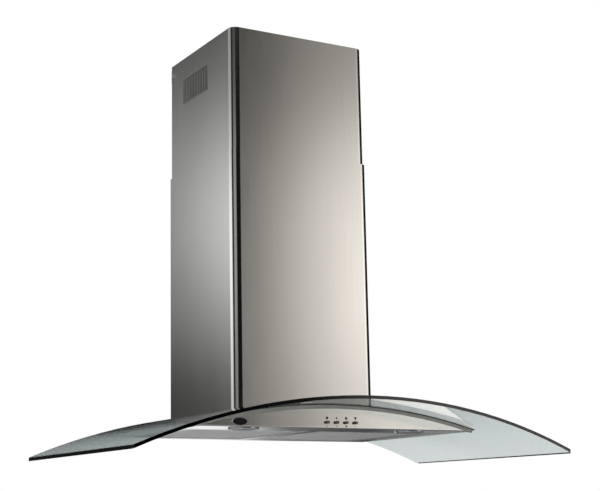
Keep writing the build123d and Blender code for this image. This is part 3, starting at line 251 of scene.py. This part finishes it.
STEEL = (0.66, 0.645, 0.615)
upright_steel = brushed_steel("steel_brushed_upright", STEEL, "Z")
level_steel = brushed_steel("steel_brushed_along", STEEL, "X")
finishes = {
    "lower_chimney": upright_steel,
    "upper_chimney": upright_steel,
    "canopy_body": level_steel,
    "fascia_panel": level_steel,
    "glass_canopy": clear_glass("toughened_glass"),
    "glass_seal": moulded("seal_rubber", (0.03, 0.03, 0.03), 0.8),
    "glass_grommets": moulded("bush_rubber", (0.025, 0.025, 0.025), 0.7),
    "glass_screws": plain_metal("zinc_screw", (0.62, 0.62, 0.6), 0.32),
    "chimney_screws": plain_metal("cover_screw", (0.62, 0.62, 0.6), 0.28),
    "trim_strip": moulded("grey_trim_rubber", (0.225, 0.22, 0.205), 0.5),
    "badge_plate": moulded("badge_lacquer", (0.006, 0.006, 0.007), 0.12, 300.0, 0.02),
    "badge_rim": plain_metal("badge_chrome", (0.85, 0.85, 0.86), 0.08, 600.0, 0.02),
    "switch_block": moulded("switch_plastic", (0.05, 0.05, 0.052), 0.5),
    "filter_catches": plain_metal("spring_steel", (0.6, 0.6, 0.6), 0.3),
    "chimney_guides": felt("guide_felt", (0.03, 0.03, 0.032)),
    "chimney_bracket": zinc_sheet("bracket_zinc", (0.62, 0.64, 0.65)),
    "blower_housing": zinc_sheet("housing_zinc", (0.6, 0.62, 0.63)),
    "motor_bracket": zinc_sheet("spider_zinc", (0.58, 0.6, 0.61)),
    "blower_scroll": moulded("scroll_plastic", (0.03, 0.03, 0.032), 0.45),
    "outlet_transition": moulded("transition_plastic", (0.03, 0.03, 0.032), 0.45),
    "outlet_collar": moulded("collar_plastic", (0.035, 0.035, 0.037), 0.42),
    "flap_rear": moulded("flap_plastic_rear", (0.045, 0.045, 0.047), 0.4),
    "flap_front": moulded("flap_plastic_front", (0.045, 0.045, 0.047), 0.4),
    "flap_axle": plain_metal("axle_steel", (0.6, 0.6, 0.6), 0.2),
    "blower_wheel": zinc_sheet("wheel_zinc", (0.66, 0.67, 0.68)),
    "motor_shaft": plain_metal("ground_shaft", (0.66, 0.66, 0.66), 0.15),
    "motor": moulded("motor_paint", (0.1, 0.105, 0.11), 0.4),
    "terminal_box": moulded("box_plastic", (0.62, 0.62, 0.6), 0.45),
    "lamp_driver": moulded("driver_plastic", (0.66, 0.66, 0.64), 0.4),
    "cable_gland": moulded("gland_plastic", (0.03, 0.03, 0.03), 0.5),
    "motor_capacitor": moulded("capacitor_plastic", (0.7, 0.7, 0.68), 0.35),
}
# Button faces carry a painted highlight: a lighter grey than the black sides.
button_black = plastic_with_painted_highlight("button_black", (0.012, 0.012, 0.013), (0.075, 0.073, 0.07), BUTTON_LIT_FACE_Y, 0.35)
for index in range(1, 5):
    finishes[f"button_{index}"] = button_black
pairs = {
    "filter_frame": plain_metal("filter_aluminium", (0.72, 0.72, 0.72), 0.35),
    "filter_mesh": plain_metal("mesh_aluminium", (0.6, 0.6, 0.6), 0.4, metallic=0.55),
    "filter_handle": plain_metal("handle_wire", (0.68, 0.68, 0.68), 0.18),
    "lamp_bezel": plain_metal("bezel_chrome", (0.5, 0.5, 0.51), 0.2, 600.0, 0.02),
    "lamp_lens": frosted("lamp_lens", (0.5, 0.5, 0.48)),
    "lamp_can": plain_metal("lamp_casting", (0.55, 0.55, 0.56), 0.45, 500.0, 0.4),
    "vent_grille": moulded("vent_plastic", (0.11, 0.107, 0.103), 0.5),
}
for name, material in pairs.items():
    for side in ("left", "right"):
        finishes[f"{name}_{side}"] = material
for name, obj in nodes.items():
    material = finishes[name]
    if not obj.material_slots:
        obj.data.materials.append(material)
    for place in obj.material_slots:
        place.material = material


# ---------------------------------------------------------------- new pieces
def mesh_object(name, points, faces, material=None, smooth=True):
    """Object at the origin from rows of points and rows of corner numbers."""
    mesh = bpy.data.meshes.new(name)
    mesh.from_pydata(np.asarray(points, float).tolist(), [], [list(map(int, f)) for f in faces])
    mesh.validate()
    if smooth:
        mesh.shade_smooth()
    made = bpy.data.objects.new(name, mesh)
    scene.collection.objects.link(made)
    if material:
        made.data.materials.append(material)
    return made


def grid_faces(rows, columns, wrap=False):
    """Four corners of each cell of a grid of points; wrap joins the last column to the first."""
    i = np.arange(rows - 1)[:, None]
    j = np.arange(columns if wrap else columns - 1)[None, :]
    k = (j + 1) % columns
    corners = (i * columns + j, i * columns + k, (i + 1) * columns + k, (i + 1) * columns + j)
    return np.stack([np.broadcast_to(c, (rows - 1, j.shape[1])) for c in corners], -1).reshape(-1, 4)


def ease(value, start, end):
    """Smooth step from 0 at start to 1 at end, either way round."""
    t = np.clip((value - start) / (end - start), 0.0, 1.0)
    return t * t * (3.0 - 2.0 * t)


def joined(parts):
    """One set of points and faces out of several, as (points, faces) pairs."""
    starts = np.cumsum([0] + [len(points) for points, _ in parts])
    faces = [(np.asarray(face) + start).tolist() for (_, own), start in zip(parts, starts) for face in own]
    return np.concatenate([points for points, _ in parts]), faces


def ink_mark(outline, x, z):
    """Printed mark on the fascia: a convex outline, thickened by its ink film.

    Ring 0 is the outline just inside the steel, ring 1 the same outline a little smaller,
    one film in front of it; the front is the polygon of ring 1. Lengths are in millimetres.
    """
    outline = np.asarray(outline, float)
    count = len(outline)
    rings = []
    for shrink, y in ((1.0, FASCIA_Y_MM + INK_ROOT), (INK_TAPER, FASCIA_Y_MM - INK_FILM)):
        across, up = (outline * shrink + (x, z)).T
        rings.append(np.column_stack([across, np.full(count, y), up]))
    sides = [[i, (i + 1) % count, count + (i + 1) % count, count + i] for i in range(count)]
    front = [list(range(count, 2 * count))]
    return np.concatenate(rings) / 1000.0, sides + front


def oval(half_width, half_height, power=2.0, count=28):
    """Points of |x/a|^p + |z/b|^p = 1, run so that the outline faces the front."""
    t = np.linspace(0, 2 * np.pi, count, endpoint=False)
    bend = 2.0 / power
    x = half_width * np.sign(np.cos(t)) * np.abs(np.cos(t)) ** bend
    z = half_height * np.sign(np.sin(t)) * np.abs(np.sin(t)) ** bend
    return np.column_stack([x, z])


FASCIA_Y_MM = 1000.0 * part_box("fascia_panel")[0][1]
UNDERSIDE_MM = 1000.0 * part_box("canopy_body")[0][2]
INK_FILM, INK_ROOT, INK_TAPER = 0.06, 0.02, 0.97
# Sideways from the middle of each button, and above the underside, in millimetres.
MARK_SHIFT = (0.2, 0.4, 0.8, 0.8)
MARK_HIGH = 18.5
MARK_LOW = 3.9
DARK_INK, FAINT_INK = 0.012, 0.1


def make_marks():
    """Plain printed signs over and under the buttons: dots, a triangle, dashes."""
    mark_x = []
    for index, shift in enumerate(MARK_SHIFT, 1):
        low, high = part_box(f"button_{index}")
        mark_x.append(500.0 * (low[0] + high[0]) + shift)
    triangle = [(-3.2, 2.6), (0.0, -3.3), (3.2, 2.6)]
    dark = [
        (oval(2.6, 2.6), mark_x[0], MARK_HIGH),
        (oval(2.5, 2.5), mark_x[2], MARK_HIGH),
        (triangle, mark_x[3], MARK_HIGH),
        (oval(2.0, 1.7), mark_x[2], MARK_LOW),
    ]
    faint = [
        (oval(1.9, 2.3), mark_x[1], MARK_HIGH),
        (oval(1.7, 0.8, 4.0), mark_x[0], MARK_LOW),
        (oval(1.2, 1.2), mark_x[1], MARK_LOW),
        (oval(0.5, 1.4, 4.0), mark_x[3], MARK_LOW),
    ]
    for name, marks, shade in (("marks_dark", dark, DARK_INK), ("marks_faint", faint, FAINT_INK)):
        points, faces = joined([ink_mark(outline, x, UNDERSIDE_MM + z) for outline, x, z in marks])
        ink = moulded(name + "_ink", (shade, shade, shade * 0.95), 0.5, 2500.0, 0.1)
        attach(mesh_object(name, points, faces, ink, smooth=False), "hood")


# The frame covers the edge of the coarse grid by its lip; the sheet lies in front of the grid.
FRAME_LIP = 0.011
WEAVE_CELL = (0.0076, 0.0038)
WEAVE_STRAND = (0.0009, 0.0006)
WEAVE_BELOW = 0.0009
WEAVE_TILT = 0.0004
# Room round the handle for its recess.
RECESS_SIDE = 0.0064
RECESS_REAR = 0.0094


def strands(x, y, z, sign):
    """Strand r runs along x as y = y_r + s * cell_y / 4 and height = z + s * tilt.

    s is +1 or -1 at each step, so that a strand touches the next one at every other
    step. The section is a flat rectangle.
    """
    sway = y[:, None] + sign * WEAVE_CELL[1] / 4
    path = np.stack(np.broadcast_arrays(x[None, :], sway, z + sign * WEAVE_TILT), -1)
    section = np.array([(-1, -1), (1, -1), (1, 1), (-1, 1)]) * np.array(WEAVE_STRAND) / 2
    points = path[:, :, None, :] + np.concatenate([np.zeros((4, 1)), section], 1)
    count = len(x) * 4
    caps = np.array([(3, 2, 1, 0), (count - 4, count - 3, count - 2, count - 1)])
    one = np.concatenate([grid_faces(len(x), 4, wrap=True), caps])
    faces = (one[None] + count * np.arange(len(y))[:, None, None]).reshape(-1, 4)
    return points.reshape(-1, 3), faces


def make_weave(side, body):
    """Expanded aluminium sheet under the grid of a filter, cut out round the handle's recess."""
    low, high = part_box(f"filter_mesh_{side}")
    handle_low, handle_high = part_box(f"filter_handle_{side}")
    width, length = (high[axis] - low[axis] - 2 * FRAME_LIP for axis in (0, 1))
    steps = int(round(width / (WEAVE_CELL[0] / 2)))
    rows = int(round(length / (WEAVE_CELL[1] / 2)))
    x = np.linspace(low[0] + FRAME_LIP, high[0] - FRAME_LIP, steps + 1)
    y = high[1] - FRAME_LIP - (np.arange(rows) + 0.5) * length / rows
    sign = (-1.0) ** (np.arange(rows)[:, None] + np.arange(steps + 1)[None, :])
    behind = int(np.sum(y > handle_high[1] + RECESS_REAR))
    left = int(np.sum(x < handle_low[0] - RECESS_SIDE))
    right = int(np.sum(x <= handle_high[0] + RECESS_SIDE))
    blocks = [(slice(0, behind), slice(None))]
    blocks += [(slice(behind, None), slice(0, left)), (slice(behind, None), slice(right, None))]
    points, faces = joined([strands(x[j], y[i], low[2] - WEAVE_BELOW, sign[i, j]) for i, j in blocks])
    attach(mesh_object(f"weave_{side}", points, faces, weave_metal, smooth=False), body)


weave_metal = plain_metal("weave_aluminium", (0.72, 0.72, 0.71), 0.4, metallic=0.75)
make_marks()
make_weave("left", "filter_left")
make_weave("right", "filter_right")


# ---------------------------------------------------------------- studio
# The surround's boxes and surfaces are given by a, in degrees from the front, positive to
# the right, and e, in degrees above the horizon.
FLOOR_Z = -0.85
FLOOR_HALF = 30.0
SURROUND_RADIUS = 7.0
SURROUND_MIDDLE = (0.0, -0.2, 0.1)
WARM = np.array([1.0, 0.965, 0.92])
COOL = np.array([0.97, 0.985, 1.0])
BLACKOUT = 0.005
RIGHT_BOX_LIGHT = 1.52
LEFT_BOX_LIGHT = 1.14
LEFT_BOX_FLOOR = 0.07
GROUND_LIGHT = 0.32
BELOW_LIGHT = 0.36
SOFT_LIGHT = 0.55
LAMP_TARGET = (0, -0.2, 0.1)


def right_box(a, e):
    """Soft box at the right front, from a = 27 to 60.

    Its light rises evenly over seven degrees from its left edge, with a faint spill in
    front of it, and fades above e = 12, slightly towards the horizon, and below e = -22.
    """
    left_edge, rise, brightest = 26.6, 7.3, 1.12
    across = np.maximum(np.clip((a - left_edge) / rise, 0.0, brightest), 0.1 * ease(a, 18, 28))
    up = (0.28 + 0.72 * ease(e, 23.5, 12.5)) * (0.72 + 0.28 * ease(e, 1, 8)) * ease(e, -36, -22)
    return across * ease(a, 66, 52) * up


def left_box(a, e):
    """Soft box on the left side, from a = -97 to the wall.

    It dies away as exp(0.36 * degrees) past a = -150, towards the wall. Along e it is a
    bell round e = 13 next to the wall and a wider one on a base of 0.35 away from it.
    """
    wall_edge, wall_rate = -150.3, 0.36
    fade = np.exp(wall_rate * np.minimum(a - wall_edge, 0.0))
    across = np.maximum(fade, LEFT_BOX_FLOOR) * ease(a, -92, -102)
    by_wall = np.exp(-(((e - 13.2) / 6.6) ** 2))
    in_open = 0.35 + 0.95 * np.exp(-(((e - 12.0) / np.where(e < 12.0, 9.0, 5.5)) ** 2))
    return across * (by_wall + (in_open - by_wall) * ease(a, -149.5, -143))


def left_strip(a, e):
    """Narrow soft box at the left front, from a = -70 to -33, strongest between e = 9 and 15."""
    up = 0.05 + 0.4 * ease(e, 22, 15) * (0.5 + 0.5 * ease(e, 3.5, 9))
    return up * ease(a, -74, -66) * ease(a, -30, -36)


def worktop(a, e):
    """Pale worktop and wall low behind the hood, bright on the left of the wall's middle."""
    top = 0.05 + 1.0 * ease(a, 149.5, 154.5)
    return (top * ease(e, 2.5, -0.5) + 0.055 * ease(e, 3, 7)) * ease(np.abs(a), 128, 140)


def below(a, e):
    """Light from under the hood, behind its front, from e = -5 to -45, halved up to a = 148."""
    up = ease(e, -5, -12) * ease(e, -45, -25)
    return BELOW_LIGHT * up * (0.08 + 0.92 * ease(np.abs(a), 95, 130)) * (0.45 + 0.55 * ease(a, 147, 149))


def ground(a, e):
    """Floor in front and at the sides from e = -4 down, and all round from e = -52 down."""
    return GROUND_LIGHT * np.maximum(ease(e, -4, -15) * ease(np.abs(a), 108, 92), ease(e, -52, -66))


def ceiling(a, e):
    """Pale ceiling above e = 27, brightest over the right front; lower over the left front."""
    left_front = ease(a, 12, 0) * ease(a, -140, -128)
    return (0.38 + 0.14 * np.cos(np.radians(a - 40.0))) * ease(e, 27 - 1.5 * left_front, 38 - 4 * left_front)


def surround_glow(a, e):
    """Brightness of the studio in the direction a, e.

    Dark drapes hang between the soft boxes. The pale surfaces don't add up: the brightest
    of them counts.
    """
    pale = np.maximum.reduce([worktop(a, e), below(a, e), ground(a, e), ceiling(a, e)])
    glow = BLACKOUT + RIGHT_BOX_LIGHT * right_box(a, e)[..., None] * WARM
    return glow + (LEFT_BOX_LIGHT * left_box(a, e) + left_strip(a, e) + pale)[..., None] * COOL


def make_surround():
    """Inside of a ball with the glow of each direction as its colour; only reflections see it."""
    a = np.radians(np.linspace(-180, 180, 361)[:-1])
    e = np.radians(np.linspace(-89.5, 89.5, 120))
    ee, aa = np.meshgrid(e, a, indexing="ij")
    points = SURROUND_RADIUS * np.stack(
        [np.sin(aa) * np.cos(ee), -np.cos(aa) * np.cos(ee), np.sin(ee)], -1
    ) + np.array(SURROUND_MIDDLE)
    made = mesh_object("studio_surround", points.reshape(-1, 3), grid_faces(len(e), len(a), wrap=True))
    glow = surround_glow(np.degrees(aa), np.degrees(ee)).reshape(-1, 3)
    colours = made.data.attributes.new("glow", "FLOAT_COLOR", "POINT")
    colours.data.foreach_set("color", np.column_stack([glow, np.ones(len(glow))]).astype(np.float32).ravel())
    material, tree = new_material("studio_glow")
    seen = add(tree, "Attribute", attribute_name="glow").outputs["Color"]
    light = add(tree, "Emission", {"Color": seen, "Strength": 1.0})
    add(tree, "OutputMaterial", {"Surface": light.outputs["Emission"]})
    made.data.materials.append(material)
    for ray in ("camera", "diffuse", "transmission", "volume_scatter", "shadow"):
        setattr(made, "visible_" + ray, False)


def make_floor():
    """Wide pale floor, seen only from above."""
    points = [(x * FLOOR_HALF, y * FLOOR_HALF, FLOOR_Z) for x, y in ((-1, -1), (1, -1), (1, 1), (-1, 1))]
    material, tree = new_material("pale_floor")
    noise = pattern(tree, "TexNoise", EVEN, Scale=3.0, Detail=2.0).outputs["Fac"]
    paint = add(
        tree,
        "BsdfPrincipled",
        {
            "Base Color": tint(tree, noise, (0.80, 0.80, 0.80), (0.84, 0.84, 0.835)),
            "Roughness": 1.0,
            "Specular IOR Level": 0.0,
        },
    )
    clear = add(tree, "BsdfTransparent")
    under = add(tree, "NewGeometry").outputs["Backfacing"]
    mix = add(tree, "MixShader", {0: under, 1: paint.outputs["BSDF"], 2: clear.outputs["BSDF"]})
    add(tree, "OutputMaterial", {"Surface": mix.outputs["Shader"]})
    floor = mesh_object("studio_floor", points, [(0, 1, 2, 3)], material, smooth=False)
    floor.visible_glossy = False


def make_world(strength):
    """Soft even light; the camera, reflections and clear glass see plain white."""
    world = bpy.data.worlds.new("studio_world")
    world.use_nodes = True
    tree = world.node_tree
    tree.nodes.clear()
    path = add(tree, "LightPath")
    camera, glossy, clear = (path.outputs[f"Is {kind} Ray"] for kind in ("Camera", "Glossy", "Transmission"))
    seen = add(tree, "Math", {0: camera, 1: glossy}, operation="MAXIMUM")
    seen = add(tree, "Math", {0: seen.outputs[0], 1: clear}, operation="MAXIMUM")
    light = add(tree, "Background", {"Color": (1.0, 1.0, 1.0, 1.0), "Strength": strength})
    white = add(tree, "Background", {"Color": (1.0, 1.0, 1.0, 1.0), "Strength": 1.0})
    mix = add(tree, "MixShader", {0: seen.outputs[0], 1: light.outputs[0], 2: white.outputs[0]})
    add(tree, "OutputWorld", {"Surface": mix.outputs[0]})
    scene.world = world


def area_lamp(name, place, size, power, colour):
    """Square soft box aimed at the hood; the surround shows its reflection instead."""
    light = bpy.data.lights.new(name, "AREA")
    light.shape = "SQUARE"
    light.size = size
    light.energy = power
    light.color = colour
    lamp = bpy.data.objects.new(name, light)
    lamp.location = place
    lamp.rotation_euler = (Vector(LAMP_TARGET) - Vector(place)).to_track_quat("-Z", "Y").to_euler()
    lamp.visible_glossy = False
    lamp.visible_camera = False
    scene.collection.objects.link(lamp)


CAMERA_PLACE = (-1.28384, -2.44009, -0.34690)
CAMERA_YAW = 29.247
CAMERA_PITCH = 10.773
CAMERA_ROLL = -0.854
FOCAL_PIXELS = 1325.76
PICTURE_WIDTH = 600
SENSOR_WIDTH = 36.0
CAMERA_SHIFT = (0.05, 0.0242)


def make_camera():
    """Camera turned by yaw to the right, pitch upwards and a slight roll."""
    yaw, pitch, roll = (math.radians(v) for v in (CAMERA_YAW, CAMERA_PITCH, CAMERA_ROLL))
    ahead = Vector((math.sin(yaw) * math.cos(pitch), math.cos(yaw) * math.cos(pitch), math.sin(pitch)))
    level = Vector((math.cos(yaw), -math.sin(yaw), 0.0))
    upright = level.cross(ahead)
    right = math.cos(roll) * level + math.sin(roll) * upright
    up = -math.sin(roll) * level + math.cos(roll) * upright
    data = bpy.data.cameras.new("studio_camera")
    data.sensor_width = SENSOR_WIDTH
    data.lens = FOCAL_PIXELS * SENSOR_WIDTH / PICTURE_WIDTH
    data.shift_x, data.shift_y = CAMERA_SHIFT
    camera = bpy.data.objects.new("studio_camera", data)
    rows = zip(right, up, -ahead, CAMERA_PLACE)
    camera.matrix_world = Matrix([*(tuple(row) for row in rows), (0, 0, 0, 1)])
    scene.collection.objects.link(camera)
    scene.camera = camera


make_surround()
make_floor()
make_world(SOFT_LIGHT)
area_lamp("key_box", (2.2, -2.8, 1.6), size=2.0, power=70.0, colour=(1.0, 0.98, 0.95))
area_lamp("left_box", (-2.6, -0.6, 1.2), size=1.6, power=40.0, colour=(0.97, 0.985, 1.0))
make_camera()

scene.view_settings.view_transform = "Standard"
